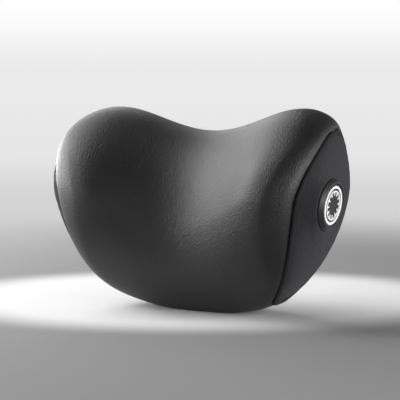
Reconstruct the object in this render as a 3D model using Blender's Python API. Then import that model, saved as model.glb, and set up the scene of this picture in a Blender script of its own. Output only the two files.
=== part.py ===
"""A car neck pillow: a foam core in a sewn cover, with a moulded badge and a headrest strap.

Units are metres. +Z is up, the neck rests against the -Y side, and the seat is on the +Y side.
The origin is the middle of the flat base, which the pillow stands on.
"""

import math

import bmesh
import bpy
from mathutils import Matrix, Vector

# The pillow's overall size
WIDTH = 0.294
HEIGHT = 0.190
DEPTH = 0.120

# The dip that the neck lies in, and where the raised ends begin, as shares of the half width
NECK_DIP = 0.022
NECK_RECESS = 0.021
EAR_AT = 0.82
LOBE_AT = 0.89
BACK_AT = 0.75
LEVEL_AT = 0.80

# How far the top, the front and the back turn in at the two ends, and how far the base lifts
TOP_TURN = 0.0185
FRONT_TURN = 0.0135
BACK_TURN = 0.020
END_LIFT = 0.011

# A section from front to back: its highest line, its foremost line and its base
RIDGE_MIDDLE = 0.030
RIDGE_END = 0.022
BELLY_MIDDLE = 0.075
BELLY_END = 0.1095
BASE_FRONT = 0.010
BASE_BACK = 0.024
SETTLE = 0.003
TOP_FRONT_POWER = 1.8
FRONT_BASE_MIDDLE_POWER = 2.0
FRONT_BASE_END_POWER = 1.75
BASE_BACK_POWER = 3.2
BACK_TOP_POWER = 2.85

# The outline seen from the front, and the crown of the end panels
BASE_HALF_WIDTH = 0.055
WIDEST_HEIGHT = 0.122
SIDE_LOW_POWER = 1.57
SIDE_HIGH_POWER = 1.78
TOP_SHARE = 0.86
END_CROWN = 0.025
CROWN_CENTRE = 0.005
CROWN_POWER = 3.0
PANEL_PUFF = 0.004

# The cover's thickness and the gaps between touching pieces
COVER_THICKNESS = 0.0025
CORE_GAP = 0.0005
SEAM_GAP = 0.0006
SEAT_GAP = 0.0003

# The back panel covers these shares of the two quarters of the section that meet at the back
BACK_SEAM_LOW = 0.45
BACK_SEAM_HIGH = 0.55

# The moulded badge on the right end panel, and the flat that it presses into the panel
BADGE_RADIUS = 0.0235
BADGE_TO_SEAM = 0.0095
BADGE_BELOW_BELLY = 0.0028
BADGE_FACE_RADIUS = 0.0208
BADGE_THICKNESS = 0.0045
BADGE_WALL = 0.0012
BADGE_RIM = 0.0015
BADGE_FACE_DEPTH = 0.0012
BADGE_SINK = 0.0015
BADGE_MARGIN = 0.0015
RING_THICKNESS = 0.0006
OUTER_RING_RADIUS = 0.0174
OUTER_RING_WIDTH = 0.0024
INNER_RING_RADIUS = 0.0132
INNER_RING_WIDTH = 0.0012
TICK_LENGTH = 0.0034
TICK_COUNT = 12

# The badge stands squarer than the bare panel: it takes this share of the panel's downward slope
BADGE_SLOPE_DOWN = 0.63

# The strap that goes round the headrest
STRAP_WIDTH = 0.038
STRAP_THICKNESS = 0.0016
STRAP_END_MARGIN = 0.002
STRAP_TAB = 0.022
STRAP_BOW = 0.016

# How finely the curved pieces are divided
MIDDLE_STEPS = 9
END_STEPS = 4
QUARTER_STEPS = 8
PANEL_RINGS = 3
ROUND_STEPS = 36
TICK_SPACING = 4
STRAP_STEPS = 28

TOP_TO_FRONT, FRONT_TO_BASE, BASE_TO_BACK, BACK_TO_TOP = range(4)
SMOOTH_ANGLE = math.radians(40)


def clear_scene():
    for old in list(bpy.data.objects):
        bpy.data.objects.remove(old, do_unlink=True)


def make_material(name, colour, roughness):
    material = bpy.data.materials.new(name)
    material.use_nodes = True
    shader = material.node_tree.nodes["Principled BSDF"]
    shader.inputs["Base Color"].default_value = (*colour, 1.0)
    shader.inputs["Roughness"].default_value = roughness
    shader.inputs["Metallic"].default_value = 0.0
    return material


def add_object(name, shape, material, parent):
    """Turns a bmesh into a named object with its faces pointing out."""
    bmesh.ops.recalc_face_normals(shape, faces=shape.faces)
    mesh = bpy.data.meshes.new(name)
    shape.to_mesh(mesh)
    shape.free()
    mesh.shade_smooth()
    mesh.set_sharp_from_angle(angle=SMOOTH_ANGLE)
    mesh.materials.append(material)
    thing = bpy.data.objects.new(name, mesh)
    bpy.context.scene.collection.objects.link(thing)
    thing.parent = parent
    return thing


def add_place(name, matrix, parent):
    """An empty that carries the pieces placed by it."""
    place = bpy.data.objects.new(name, None)
    bpy.context.scene.collection.objects.link(place)
    place.parent = parent
    place.matrix_local = matrix
    return place


def ease(share):
    """Falls smoothly from 1 at a share of 0 to 0 at a share of 1."""
    return 0.5 * (1 + math.cos(math.pi * min(max(share, 0.0), 1.0)))


def turn(share):
    """Rises like the side of a circle, from 0 at a share of 0 to nearly 1 at a share of 1."""
    share = min(max(share, 0.0), 1.0)
    return 1 - math.sqrt(1 - 0.995 * share * share)


def bend(value, power):
    return max(value, 0.0) ** (2 / power)


def reach(y, z, inset):
    """The pillow's half width at a depth and a height."""
    full = WIDTH / 2 - PANEL_PUFF
    if z < WIDEST_HEIGHT:
        low = (WIDEST_HEIGHT - z) / WIDEST_HEIGHT
        swell = (1 - low**SIDE_LOW_POWER) ** (1 / SIDE_LOW_POWER)
        half = BASE_HALF_WIDTH + (full - BASE_HALF_WIDTH) * swell
    else:
        high = min((z - WIDEST_HEIGHT) / (HEIGHT - WIDEST_HEIGHT), 1.0)
        swell = (1 - high**SIDE_HIGH_POWER) ** (1 / SIDE_HIGH_POWER)
        half = full * (TOP_SHARE + (1 - TOP_SHARE) * swell)
    return half - END_CROWN * abs((y - CROWN_CENTRE) / (DEPTH / 2)) ** CROWN_POWER - inset


def section_point(across, station, inset):
    """The (y, z) of one point of the section at a share of the half width.

    A station is one of the section's quarters and a share of that quarter. The inset is how far
    the section lies inside the pillow's skin.
    """
    quarter, share = station
    side = abs(across)
    top = HEIGHT - NECK_DIP * ease(side / EAR_AT) - TOP_TURN * turn((side - EAR_AT) / (1 - EAR_AT)) - inset
    front = NECK_RECESS * ease(side / LOBE_AT) + FRONT_TURN * turn((side - LOBE_AT) / (1 - LOBE_AT))
    front += inset - DEPTH / 2
    back = DEPTH / 2 - BACK_TURN * turn((side - BACK_AT) / (1 - BACK_AT)) - inset
    bottom = END_LIFT * side**4 - SETTLE + inset
    level = ease(side / LEVEL_AT)
    ridge = RIDGE_END + (RIDGE_MIDDLE - RIDGE_END) * level
    belly = BELLY_END + (BELLY_MIDDLE - BELLY_END) * level
    front_base = FRONT_BASE_END_POWER + (FRONT_BASE_MIDDLE_POWER - FRONT_BASE_END_POWER) * level
    waist = (top + bottom) / 2
    rising = math.sin(share * math.pi / 2)
    falling = math.cos(share * math.pi / 2)
    if quarter == TOP_TO_FRONT:
        y = ridge + (front - ridge) * bend(rising, TOP_FRONT_POWER)
        z = belly + (top - belly) * bend(falling, TOP_FRONT_POWER)
    elif quarter == FRONT_TO_BASE:
        y = BASE_FRONT + (front - BASE_FRONT) * bend(falling, front_base)
        z = belly + (bottom - belly) * bend(rising, front_base)
    elif quarter == BASE_TO_BACK:
        y = BASE_BACK + (back - BASE_BACK) * bend(rising, BASE_BACK_POWER)
        z = waist + (bottom - waist) * bend(falling, BASE_BACK_POWER)
    else:
        y = ridge + (back - ridge) * bend(falling, BACK_TOP_POWER)
        z = waist + (top - waist) * bend(rising, BACK_TOP_POWER)
    # The foam settles on what it stands on, so nothing reaches below the flat base.
    return y, max(z, inset)


def cover_point(across, station, inset):
    y, z = section_point(across, station, inset)
    return Vector((across * reach(y, z, inset), y, z))


def across_stations():
    """The shares of the half width that get a section, closer together where the ends turn in."""
    half = [EAR_AT * step / MIDDLE_STEPS for step in range(1, MIDDLE_STEPS)]
    for step in range(END_STEPS + 1):
        half.append(EAR_AT + (1 - EAR_AT) * math.sin(step / END_STEPS * math.pi / 2))
    return [-share for share in reversed(half)] + [0.0] + half


def quarter_stations(quarter, first, last, steps):
    return [(quarter, first + (last - first) * step / steps) for step in range(steps + 1)]


def loop_stations():
    """Once round a whole section. The flat of the base lies between two quarters."""
    stations = quarter_stations(TOP_TO_FRONT, 0.0, 1.0, QUARTER_STEPS)[:-1]
    stations += quarter_stations(FRONT_TO_BASE, 0.0, 1.0, QUARTER_STEPS)
    stations += quarter_stations(BASE_TO_BACK, 0.0, 1.0, QUARTER_STEPS)[:-1]
    return stations + quarter_stations(BACK_TO_TOP, 0.0, 1.0, QUARTER_STEPS)[:-1]


def wrap_stations():
    """From the upper back seam over the top, down the front, under the base to the lower back seam."""
    stations = quarter_stations(BACK_TO_TOP, BACK_SEAM_HIGH, 1.0, QUARTER_STEPS // 2)[:-1]
    stations += quarter_stations(TOP_TO_FRONT, 0.0, 1.0, QUARTER_STEPS)[:-1]
    stations += quarter_stations(FRONT_TO_BASE, 0.0, 1.0, QUARTER_STEPS)
    return stations + quarter_stations(BASE_TO_BACK, 0.0, BACK_SEAM_LOW, QUARTER_STEPS // 2)


def back_stations():
    """From the lower back seam up to the upper one, clear of both by the seams' gap."""
    gap = SEAM_GAP / (HEIGHT / 2)
    stations = quarter_stations(BASE_TO_BACK, BACK_SEAM_LOW + gap, 1.0, QUARTER_STEPS // 2)[:-1]
    return stations + quarter_stations(BACK_TO_TOP, 0.0, BACK_SEAM_HIGH - gap, QUARTER_STEPS // 2)


def add_grid(shape, rows, closed):
    """Makes quads between rows of points, and returns the rows of vertices."""
    grid = [[shape.verts.new(point) for point in row] for row in rows]
    for row, following in zip(grid, grid[1:]):
        count = len(row)
        for index in range(count if closed else count - 1):
            after = (index + 1) % count
            shape.faces.new((row[index], row[after], following[after], following[index]))
    return grid


def join_edges(shape, outer, inner, closed):
    """Makes quads between two rows of vertices."""
    count = len(outer)
    for index in range(count if closed else count - 1):
        after = (index + 1) % count
        shape.faces.new((outer[index], outer[after], inner[after], inner[index]))


def sheet_shape(stations):
    """A closed sheet of the cover's thickness over part of the section, from end to end."""
    shape = bmesh.new()
    layers = []
    for inset in (0.0, COVER_THICKNESS):
        rows = [[cover_point(across, station, inset) for station in stations] for across in across_stations()]
        layers.append(add_grid(shape, rows, closed=False))
    outer, inner = layers
    for end in (0, -1):
        join_edges(shape, outer[end], inner[end], closed=False)
        join_edges(shape, [row[end] for row in outer], [row[end] for row in inner], closed=False)
    return shape


def panel_x(y, z, edge_share, inset):
    """The right end panel's surface. It stands proud of its seam by the puff."""
    return reach(y, z, inset) + PANEL_PUFF * (1 - edge_share**4)


def badge_middle(inset):
    """The badge's centre on the unpressed panel, a fixed way in from the panel's foremost edge."""
    seam_y = section_point(1.0, (FRONT_TO_BASE, 0.0), 0.0)[0]
    y = seam_y + BADGE_TO_SEAM + BADGE_RADIUS
    z = BELLY_END - BADGE_BELOW_BELLY
    return Vector((panel_x(y, z, 0.0, inset), y, z))


def badge_axes():
    """The badge's sideways and upward directions and its normal, from the panel's downward slope."""
    step = 0.001
    middle = badge_middle(0.0)
    above = panel_x(middle.y, middle.z + step, 0.0, 0.0)
    below = panel_x(middle.y, middle.z - step, 0.0, 0.0)
    down = (above - below) / (2 * step) * BADGE_SLOPE_DOWN
    normal = Vector((1.0, 0.0, -down)).normalized()
    sideways = Vector((0.0, 1.0, 0.0))
    return sideways, normal.cross(sideways), normal


def end_rings(side, edge_inset, inset, pressed):
    """Rings of points over one end, from its seam to the edge of the badge's place, then its centre.

    The badge presses a flat into the end that carries it. The other end keeps its crown.
    """
    sideways, upward, normal = badge_axes()
    middle = badge_middle(inset)
    seat = badge_middle(0.0) - normal * (BADGE_SINK + inset)
    flat_radius = BADGE_RADIUS + BADGE_MARGIN
    rings = [[] for _ in range(PANEL_RINGS + 1)]
    for station in loop_stations():
        y, z = section_point(1.0, station, edge_inset)
        angle = math.atan2(z - middle.z, y - middle.y)
        near = seat + flat_radius * (math.cos(angle) * sideways + math.sin(angle) * upward)
        edge_distance = math.hypot(y - middle.y, z - middle.z)
        near_share = math.hypot(near.y - middle.y, near.z - middle.z) / edge_distance
        near_depth = near.x - panel_x(near.y, near.z, near_share, inset)
        for number, ring in enumerate(rings):
            inward = number / PANEL_RINGS
            ring_y = y + (near.y - y) * inward
            ring_z = z + (near.z - z) * inward
            x = panel_x(ring_y, ring_z, 1 + (near_share - 1) * inward, inset)
            if pressed:
                x += near_depth * inward**3
            ring.append(Vector((side * x, ring_y, ring_z)))
    last = seat if pressed else middle
    return rings, Vector((side * last.x, last.y, last.z))


def close_end(shape, ring, middle):
    """Fans a ring of vertices to its middle."""
    point = shape.verts.new(middle)
    for first, second in zip(ring, ring[1:] + ring[:1]):
        shape.faces.new((first, second, point))


def make_cover_sheet(name, stations, material, pillow):
    add_object(name, sheet_shape(stations), material, pillow)


def make_side_panel(name, side, material, pillow):
    """One end of the cover, set inside the seam by the seam's gap."""
    shape = bmesh.new()
    edges = []
    for inset in (0.0, COVER_THICKNESS):
        rings, middle = end_rings(side, inset + SEAM_GAP, inset, pressed=side > 0)
        grid = add_grid(shape, rings, closed=True)
        close_end(shape, grid[-1], middle)
        edges.append(grid[0])
    join_edges(shape, edges[0], edges[1], closed=True)
    add_object(name, shape, material, pillow)


def make_foam_core(material, pillow):
    """The foam block fills the cover, clear of it by the core's gap."""
    inset = COVER_THICKNESS + CORE_GAP
    stations = loop_stations()
    shape = bmesh.new()
    rows = [[cover_point(across, station, inset) for station in stations] for across in across_stations()]
    grid = add_grid(shape, rows, closed=True)
    for side, edge in ((-1, grid[0]), (1, grid[-1])):
        rings, middle = end_rings(side, inset, inset, pressed=side > 0)
        inner = add_grid(shape, rings[1:], closed=True)
        join_edges(shape, edge, inner[0], closed=True)
        close_end(shape, inner[-1], middle)
    add_object("foam_core", shape, material, pillow)


def circle_row(radius, height, steps):
    angles = [2 * math.pi * step / steps for step in range(steps)]
    return [(radius * math.cos(angle), radius * math.sin(angle), height) for angle in angles]


def turned_shape(profile):
    """A closed round solid from (radius, height) points. The first and last lie on the axis."""
    shape = bmesh.new()
    grid = add_grid(shape, [circle_row(*point, ROUND_STEPS) for point in profile[1:-1]], closed=True)
    close_end(shape, grid[0], (0.0, 0.0, profile[0][1]))
    close_end(shape, grid[-1], (0.0, 0.0, profile[-1][1]))
    return shape


def make_badge_disc(material, place):
    """A moulded disc with a leaning wall and a raised rim round its sunk face."""
    inner = BADGE_FACE_RADIUS - BADGE_RIM
    face = BADGE_THICKNESS - BADGE_FACE_DEPTH
    profile = [(0.0, 0.0), (BADGE_RADIUS, 0.0), (BADGE_RADIUS, BADGE_WALL)]
    profile += [(BADGE_FACE_RADIUS, BADGE_THICKNESS), (inner, BADGE_THICKNESS), (inner, face), (0.0, face)]
    add_object("badge_disc", turned_shape(profile), material, place)


def raise_faces(shape, faces, thickness):
    """Extrudes flat faces into a solid."""
    made = bmesh.ops.extrude_face_region(shape, geom=faces, use_keep_orig=True)
    raised = [item for item in made["geom"] if isinstance(item, bmesh.types.BMVert)]
    bmesh.ops.translate(shape, verts=raised, vec=(0.0, 0.0, thickness))


def make_outer_ring(material, place):
    shape = bmesh.new()
    radii = (OUTER_RING_RADIUS, OUTER_RING_RADIUS - OUTER_RING_WIDTH)
    add_grid(shape, [circle_row(radius, 0.0, ROUND_STEPS) for radius in radii], closed=True)
    raise_faces(shape, list(shape.faces), RING_THICKNESS)
    add_object("badge_ring_outer", shape, material, place)


def make_inner_ring(material, place):
    """A thin ring with plain ticks that point to the badge's centre."""
    shape = bmesh.new()
    steps = TICK_COUNT * TICK_SPACING
    inner = INNER_RING_RADIUS - INNER_RING_WIDTH
    rows = [circle_row(radius, 0.0, steps) for radius in (INNER_RING_RADIUS, inner)]
    ring_edge = add_grid(shape, rows, closed=True)[1]
    tips = circle_row(inner - TICK_LENGTH, 0.0, steps)
    for tick in range(TICK_COUNT):
        first = tick * TICK_SPACING
        base = ring_edge[first : first + 2]
        tip = [shape.verts.new(point) for point in tips[first : first + 2]]
        join_edges(shape, base, tip, closed=False)
    raise_faces(shape, list(shape.faces), RING_THICKNESS)
    add_object("badge_ring_inner", shape, material, place)


def make_badge(disc_material, ring_material, pillow):
    axes = badge_axes()
    seat = badge_middle(0.0) - axes[2] * (BADGE_SINK - SEAT_GAP)
    axes = Matrix(axes).transposed().to_4x4()
    place = add_place("badge_place", Matrix.Translation(seat) @ axes, pillow)
    make_badge_disc(disc_material, place)
    face = BADGE_THICKNESS - BADGE_FACE_DEPTH + SEAT_GAP
    ring_place = add_place("ring_place", Matrix.Translation((0.0, 0.0, face)), place)
    make_outer_ring(ring_material, ring_place)
    make_inner_ring(ring_material, ring_place)


def make_strap(material, pillow):
    """A band whose two sewn tabs lie flat on the straight of the back, along its hindmost line.

    Between the tabs it stands off the back by its bow.
    """
    back, height = section_point(BACK_AT, (BACK_TO_TOP, 0.0), 0.0)
    half_length = BACK_AT * reach(back, height, 0.0) - STRAP_END_MARGIN
    low = height - STRAP_WIDTH / 2
    high = height + STRAP_WIDTH / 2
    shape = bmesh.new()
    rows = []
    for step in range(STRAP_STEPS + 1):
        x = half_length * (2 * step / STRAP_STEPS - 1)
        y = back + SEAT_GAP + STRAP_BOW * ease(abs(x) / (half_length - STRAP_TAB))
        far = y + STRAP_THICKNESS
        rows.append([(x, y, low), (x, y, high), (x, far, high), (x, far, low)])
    grid = add_grid(shape, rows, closed=True)
    shape.faces.new(grid[0])
    shape.faces.new(grid[-1])
    add_object("headrest_strap", shape, material, pillow)


def main():
    clear_scene()
    leather = make_material("smooth leather", (0.014, 0.014, 0.015), 0.45)
    fabric = make_material("matt panel fabric", (0.020, 0.020, 0.023), 0.85)
    foam = make_material("memory foam", (0.78, 0.75, 0.66), 0.95)
    webbing = make_material("elastic webbing", (0.015, 0.015, 0.016), 0.8)
    rubber = make_material("badge rubber", (0.012, 0.012, 0.013), 0.5)
    pale = make_material("badge inlay", (0.80, 0.80, 0.80), 0.5)
    base_middle = (BASE_FRONT + BASE_BACK) / 2
    pillow = add_place("pillow", Matrix.Translation((0.0, -base_middle, 0.0)), None)
    make_foam_core(foam, pillow)
    make_cover_sheet("leather_wrap", wrap_stations(), leather, pillow)
    make_cover_sheet("back_panel", back_stations(), fabric, pillow)
    make_side_panel("side_panel_right", 1, fabric, pillow)
    make_side_panel("side_panel_left", -1, fabric, pillow)
    make_badge(rubber, pale, pillow)
    make_strap(webbing, pillow)


main()
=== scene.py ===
"""The looks of a car neck pillow: a sewn leather and fabric cover over foam, a badge and a strap.

Units are metres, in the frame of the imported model: +Z up, the neck side towards -Y.
"""

import math

import bmesh
import bpy
import numpy as np
from mathutils import Matrix, Vector


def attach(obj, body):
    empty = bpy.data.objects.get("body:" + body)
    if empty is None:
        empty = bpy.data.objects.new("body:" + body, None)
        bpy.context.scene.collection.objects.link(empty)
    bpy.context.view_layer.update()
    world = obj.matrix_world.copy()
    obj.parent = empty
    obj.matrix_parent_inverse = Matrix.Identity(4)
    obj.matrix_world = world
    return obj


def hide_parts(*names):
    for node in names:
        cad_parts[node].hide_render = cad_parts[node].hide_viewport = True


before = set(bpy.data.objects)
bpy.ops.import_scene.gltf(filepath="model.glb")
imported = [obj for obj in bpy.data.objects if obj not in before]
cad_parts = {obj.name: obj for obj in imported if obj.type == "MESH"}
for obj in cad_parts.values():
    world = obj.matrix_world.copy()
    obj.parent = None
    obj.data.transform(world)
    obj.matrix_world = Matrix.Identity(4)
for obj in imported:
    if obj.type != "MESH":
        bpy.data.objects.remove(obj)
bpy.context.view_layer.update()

# The pillow's overall size
WIDTH = 0.294
HEIGHT = 0.190
DEPTH = 0.120

# The dip that the neck lies in, and where the raised ends begin, as shares of the half width
NECK_DIP = 0.022
NECK_RECESS = 0.021
EAR_AT = 0.82
LOBE_AT = 0.89
BACK_AT = 0.75
LEVEL_AT = 0.80

# How far the top, the front and the back turn in at the two ends, and how far the base lifts
TOP_TURN = 0.0185
FRONT_TURN = 0.0135
BACK_TURN = 0.020
TURN_LIMIT = 0.995
END_LIFT = 0.011

# A section from front to back: its highest line, its foremost line and its base
RIDGE_MIDDLE = 0.030
RIDGE_END = 0.022
BELLY_MIDDLE = 0.075
BELLY_END = 0.1095
BASE_FRONT = 0.010
BASE_BACK = 0.024
SETTLE = 0.003
TOP_FRONT_POWER = 1.8
FRONT_BASE_MIDDLE_POWER = 2.0
FRONT_BASE_END_POWER = 1.75
BASE_BACK_POWER = 3.2
BACK_TOP_POWER = 2.85

# The outline seen from the front, and the crown of the end panels
BASE_HALF_WIDTH = 0.055
WIDEST_HEIGHT = 0.122
SIDE_LOW_POWER = 1.57
SIDE_HIGH_POWER = 1.78
TOP_SHARE = 0.86
END_CROWN = 0.025
CROWN_CENTRE = 0.005
CROWN_POWER = 3.0
PANEL_PUFF = 0.004

# The cover, its seams and the foam inside it
COVER_THICKNESS = 0.0025
SEAM_GAP = 0.0006
SEAM_EDGE = 0.0007
FOAM_INSET = 0.003
LEATHER_ROLL = (0.0028, 0.0020)
LEATHER_RIGHT_ROLL = (0.012, 0.0026)
PANEL_ROLL = (0.022, 0.0052)
BACK_ROLL = (0.0035, 0.0018)
FOAM_ROLL = (0.012, 0.0045)
END_TAPE_RADIUS = 0.0025
END_TAPE_INSET = 0.0038
END_TAPE_DEPTH = 0.0028
BACK_TAPE_RADIUS = 0.0019
BACK_TAPE_DEPTH = 0.0040

# How the foam presses the fabric panels out between their seams, how far at most, and how far
# from the strap's tabs it starts
SWELL_PRESSURE = 4.0
SWELL_FRAMES = 20
SWELL_MASS = 0.3
SWELL_STIFFNESS = 15.0
SWELL_SPACING = 0.005
SWELL_MOST = 0.0012
SWELL_CLEAR = 0.004

# A station is a place along the section: from the top line at 0, down the front to the base at 2,
# over the flat base to 3, and up the back to the top line again at 5
BACK_SEAM_LOW = 3.45
BACK_SEAM_HIGH = 4.55
STATIONS = 5

# How fine the nets of the skin are: the spacing of points, and the rows close to a seam
LEATHER_STEP_ALONG = 0.0024
LEATHER_STEP_ACROSS = 0.0021
LEATHER_END_ROWS = 16
BACK_STEP_ALONG = 0.0028
BACK_STEP_ACROSS = 0.0032
FOAM_STEP_ACROSS = 0.004
FOAM_END_ROWS = 4
FOAM_AROUND = 200
FOAM_RINGS = 20
FOAM_CENTRE_RINGS = 6
SEAM_ROWS = 6
PANEL_AROUND = 260
PANEL_EDGE_SHARE = 0.14
PANEL_EDGE_RINGS = 15
PANEL_RINGS = 31
PANEL_CENTRE_RINGS = 8
TAPE_AROUND = 240
TAPE_ACROSS = 161

# How many places a line is measured at, so that points can be spaced evenly on it
FINE_ACROSS = 4001
FINE_ALONG = 6001
FINE_ROUND = 12001

# The share of the half width where lengths along the section are measured
MEASURED_AT = 0.6

# The moulded badge on the right end
BADGE_RADIUS = 0.0235
BADGE_TO_SEAM = 0.0095
BADGE_BELOW_BELLY = 0.0028
BADGE_FACE_RADIUS = 0.0208
BADGE_THICKNESS = 0.0045
BADGE_WALL = 0.0012
BADGE_RIM = 0.0015
BADGE_FACE_DEPTH = 0.0012
BADGE_SINK = 0.0015
BADGE_MARGIN = 0.0015
SEAT_GAP = 0.0003
RING_THICKNESS = 0.0006
OUTER_RING_RADIUS = 0.0174
OUTER_RING_WIDTH = 0.0024
INNER_RING_RADIUS = 0.0132
INNER_RING_WIDTH = 0.0012
TICK_LENGTH = 0.0034
TICK_COUNT = 12
TICK_SPACING = 4
TICK_STEPS = 3
BADGE_ROUNDING = 0.0006
ROUNDING_LIMIT = 0.45
BADGE_AROUND = 144
RING_CUT = 0.35

# The badge stands squarer than the bare panel: it takes this share of the panel's downward slope
BADGE_SLOPE_DOWN = 0.63

# The strap that goes round the headrest
STRAP_WIDTH = 0.038
STRAP_THICKNESS = 0.0016
STRAP_END_MARGIN = 0.002
STRAP_TAB = 0.022
STRAP_BOW = 0.016
STITCH_MARGIN = 0.003
STITCH_PITCH = 0.0030
STITCH_LENGTH = 0.0024
STITCH_RADIUS = 0.00032
STITCH_SIDES = 6
STITCH_RINGS = 5
STITCH_BLUNTNESS = 0.08
STRAP_EDGE_SIDES = 9
STRAP_RIBS = 40
STRAP_STEPS = 161

# The photo's camera: its place round the pillow, and the point that it looks at
CAMERA_AZIMUTH = math.radians(30)
CAMERA_DISTANCE = 1.35
CAMERA_HEIGHT = 0.217
CAMERA_LENS = 130.5
CAMERA_SENSOR = 36.0
AIM = (0.0029, -0.0154, 0.1040)

# The floor: a pool of light painted into its colour round the pillow, a darker grey painted round that,
# and how its greys change with distance
FLOOR_HALF = 40.0
FLOOR_LEVEL = -0.0002
POOL_SIZE = (0.24, 0.175)
POOL_MIDDLE = 0.07
# Painted light: the floor's colour inside the pool, and the darker colour painted round it
PAINTED_POOL_GREY = 0.70
PAINTED_DIM_GREY = 0.24
FAR_HALFWAY = 1.5
FAR_GREYS = ((0.15, 0.46), (0.45, 0.66), (0.67, 0.79), (0.92, 0.82))
POOL_EDGE = (0.85, 1.30)
FLOOR_FADE = (0.40, 1.0)

# The floor and the backdrop are dim on the camera's side, and rise to full between these places
FRONT_DIM = 0.40
FLOOR_RISE = (-0.9, 0.3)
BACKDROP_RISE = (-0.3, 0.6)

# The backdrop's greys by height, and the weak even light
BACKDROP_GREYS = ((0.0, 0.82), (0.055, 1.0), (0.15, 1.0), (0.30, 0.12))
AMBIENT = 0.03

# The lamps: azimuth and elevation in degrees, distance, size and power
LAMPS = {
    "key_low": (-60, 5, 1.6, (0.7, 0.7), 18),
    "key_middle": (-75, 33, 1.6, (0.7, 0.7), 17),
    "key_high": (-92, 50, 1.6, (0.7, 0.7), 8),
    "side_softbox": (-90, 18, 1.6, (0.7, 0.9), 9),
    "rim_high": (-132, 30, 1.6, (0.8, 0.7), 7),
    "rim_low": (-112, 6, 1.6, (0.7, 0.5), 14),
    "right_softbox": (108, 10, 1.6, (0.8, 0.8), 13),
    "right_strip": (68, 3, 1.4, (0.18, 1.0), 16),
    "front_fill": (44, 4, 1.6, (0.5, 0.5), 4),
}

BASE_MIDDLE = (BASE_FRONT + BASE_BACK) / 2


def ease(share):
    """Falls smoothly from 1 at a share of 0 to 0 at a share of 1."""
    return 0.5 * (1 + np.cos(np.pi * np.clip(share, 0.0, 1.0)))


def turn(share):
    """Rises like the side of a circle, from 0 at a share of 0 to nearly 1 at a share of 1."""
    share = np.clip(share, 0.0, 1.0)
    return 1 - np.sqrt(1 - TURN_LIMIT * share * share)


def bend(value, power):
    """A sine or cosine raised so that two of them draw a rounded curve of this power."""
    return np.maximum(value, 0.0) ** (2 / power)


def reach(y, z):
    """The pillow's half width at a depth and a height."""
    full = WIDTH / 2 - PANEL_PUFF
    low = np.clip((WIDEST_HEIGHT - z) / WIDEST_HEIGHT, 0.0, 1.0)
    high = np.clip((z - WIDEST_HEIGHT) / (HEIGHT - WIDEST_HEIGHT), 0.0, 1.0)
    swell_low = (1 - low**SIDE_LOW_POWER) ** (1 / SIDE_LOW_POWER)
    swell_high = (1 - high**SIDE_HIGH_POWER) ** (1 / SIDE_HIGH_POWER)
    half_low = BASE_HALF_WIDTH + (full - BASE_HALF_WIDTH) * swell_low
    half_high = full * (TOP_SHARE + (1 - TOP_SHARE) * swell_high)
    half = np.where(z < WIDEST_HEIGHT, half_low, half_high)
    return half - END_CROWN * np.abs((y - CROWN_CENTRE) / (DEPTH / 2)) ** CROWN_POWER


def section(across, station, inset):
    """The (y, z) of places along the section at a share of the half width, inset from the skin."""
    side = np.abs(across)
    top = HEIGHT - NECK_DIP * ease(side / EAR_AT) - TOP_TURN * turn((side - EAR_AT) / (1 - EAR_AT)) - inset
    front = NECK_RECESS * ease(side / LOBE_AT) + FRONT_TURN * turn((side - LOBE_AT) / (1 - LOBE_AT))
    front = front + inset - DEPTH / 2
    back = DEPTH / 2 - BACK_TURN * turn((side - BACK_AT) / (1 - BACK_AT)) - inset
    bottom = END_LIFT * side**4 - SETTLE + inset
    level = ease(side / LEVEL_AT)
    ridge = RIDGE_END + (RIDGE_MIDDLE - RIDGE_END) * level
    belly = BELLY_END + (BELLY_MIDDLE - BELLY_END) * level
    front_base = FRONT_BASE_END_POWER + (FRONT_BASE_MIDDLE_POWER - FRONT_BASE_END_POWER) * level
    waist = (top + bottom) / 2
    station = np.mod(station, STATIONS)
    leg = np.floor(station)
    share = station - leg
    rising = np.sin(share * np.pi / 2)
    falling = np.cos(share * np.pi / 2)
    legs = [leg == number for number in range(STATIONS)]
    y = np.select(
        legs,
        [
            ridge + (front - ridge) * bend(rising, TOP_FRONT_POWER),
            BASE_FRONT + (front - BASE_FRONT) * bend(falling, front_base),
            BASE_FRONT + (BASE_BACK - BASE_FRONT) * share,
            BASE_BACK + (back - BASE_BACK) * bend(rising, BASE_BACK_POWER),
            ridge + (back - ridge) * bend(falling, BACK_TOP_POWER),
        ],
    )
    z = np.select(
        legs,
        [
            belly + (top - belly) * bend(falling, TOP_FRONT_POWER),
            belly + (bottom - belly) * bend(rising, front_base),
            bottom + 0 * share,
            waist + (bottom - waist) * bend(falling, BASE_BACK_POWER),
            waist + (top - waist) * bend(rising, BACK_TOP_POWER),
        ],
    )
    # The foam settles on what it stands on, so nothing reaches below the flat base.
    return y, np.maximum(z, inset)


def cover_points(across, station, inset):
    """Points of the skin, or of a skin inset from it, with the base's middle at the origin."""
    y, z = section(across, station, inset)
    return np.stack([across * (reach(y, z) - inset), y - BASE_MIDDLE, z], axis=-1)


def run_lengths(points, axis):
    """How far each point of a grid is along its own line of points."""
    steps = np.linalg.norm(np.diff(points, axis=axis), axis=-1)
    start = np.zeros_like(np.take(steps, [0], axis=axis))
    return np.concatenate([start, np.cumsum(steps, axis=axis)], axis=axis)


def edge_distance(points, axis):
    """How far each point of a grid is from the nearer end of its line of points."""
    along = run_lengths(points, axis)
    whole = np.take(along, [-1], axis=axis)
    return np.minimum(along, whole - along)


def spaced(total, step, edge, edge_steps):
    """Distances from 0 to a total, closer together at both ends."""
    near = edge * (1 - np.cos(np.linspace(0, np.pi / 2, edge_steps + 1)))
    count = max(int(round((total - 2 * edge) / step)), 2)
    middle = np.linspace(edge, total - edge, count + 1)[1:-1]
    return np.concatenate([near, middle, (total - near)[::-1]])


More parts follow.
